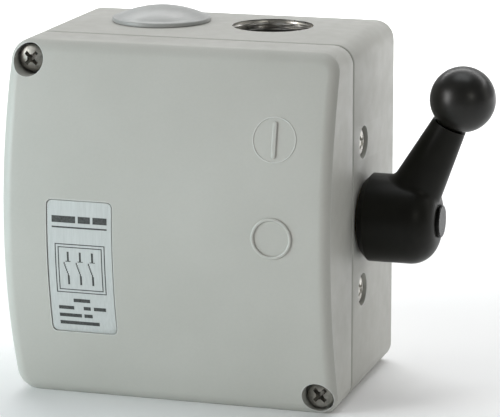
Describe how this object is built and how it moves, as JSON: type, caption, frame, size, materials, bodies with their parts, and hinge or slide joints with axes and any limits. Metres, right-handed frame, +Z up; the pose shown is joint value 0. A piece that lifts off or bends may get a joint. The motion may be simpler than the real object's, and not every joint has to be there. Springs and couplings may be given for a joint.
{
  "type": "rotary isolator switch",
  "caption": "Die-cast wall-mounted rotary isolator with a crowned front cover, threaded cable entries on top and a side lever with a ball knob that turns a switch mechanism inside.",
  "frame": {"origin": "centre of the rear mounting face", "axes": "+Y into the wall, -Y out of the crowned front, +Z up towards the cable entries, +X towards the lever"},
  "size_m": [0.1325, 0.0714, 0.1064],
  "materials": {
    "enclosure_paint": "satin light grey paint on die-cast aluminium",
    "seal_rubber": "black moulded rubber",
    "screw_steel": "zinc plated steel",
    "plate_foil": "satin printed foil",
    "plug_plastic": "moulded grey plastic",
    "brass_parts": "plain brass",
    "shaft_steel": "drawn steel bar",
    "bush_brass": "turned brass",
    "spring_steel": "hardened spring strip",
    "lever_plastic": "moulded black thermoset, semi-gloss",
    "knob_plastic": "polished black phenolic",
    "cap_plastic": "black plastic",
    "switch_plastic": "black glass-filled polyamide",
    "cam_plastic": "natural acetal",
    "rotor_plastic": "brick red polyester",
    "contact_copper": "silver-plated copper alloy",
    "terminal_steel": "zinc plated steel"
  },
  "bodies": {
    "root": {"base_housing": "enclosure_paint", "front_cover": "enclosure_paint", "cover_gasket": "seal_rubber", "cover_screws": "screw_steel", "cover_screw_seals": "seal_rubber", "nameplate": "plate_foil", "blanking_plug": "plug_plastic", "blanking_plug_seal": "seal_rubber", "earth_screw": "brass_parts", "earth_clamp": "brass_parts", "shaft_bush": "bush_brass", "shaft_seal": "seal_rubber", "side_fixing_screws": "screw_steel", "side_screw_seals": "seal_rubber", "latch_housing": "switch_plastic", "detent_springs": "spring_steel", "end_plate": "switch_plastic", "tie_screws": "screw_steel", "terminal_clamps": "terminal_steel", "terminal_screws": "terminal_steel", "contact_chamber_1": "switch_plastic", "line_contact_1": "contact_copper", "load_contact_1": "contact_copper", "contact_chamber_2": "switch_plastic", "line_contact_2": "contact_copper", "load_contact_2": "contact_copper", "contact_chamber_3": "switch_plastic", "line_contact_3": "contact_copper", "load_contact_3": "contact_copper"},
    "lever": {"switch_shaft": "shaft_steel", "shaft_circlip": "spring_steel", "lever_handle": "lever_plastic", "ball_knob": "knob_plastic", "knob_stud": "shaft_steel", "lever_screw": "screw_steel", "lever_cap": "cap_plastic", "detent_wheel": "cam_plastic", "rotor_1": "rotor_plastic", "rotor_2": "rotor_plastic", "rotor_3": "rotor_plastic", "moving_contacts_1": "contact_copper", "moving_contacts_2": "contact_copper", "moving_contacts_3": "contact_copper"}
  },
  "joints": [
    {"name": "lever_turn", "type": "hinge", "parent": "root", "child": "lever", "pos_m": [0.0482, -0.0345, 0.0005], "axis": [1, 0, 0], "range_deg": [0, 90], "deforming": ["detent_springs"]}
  ]
}
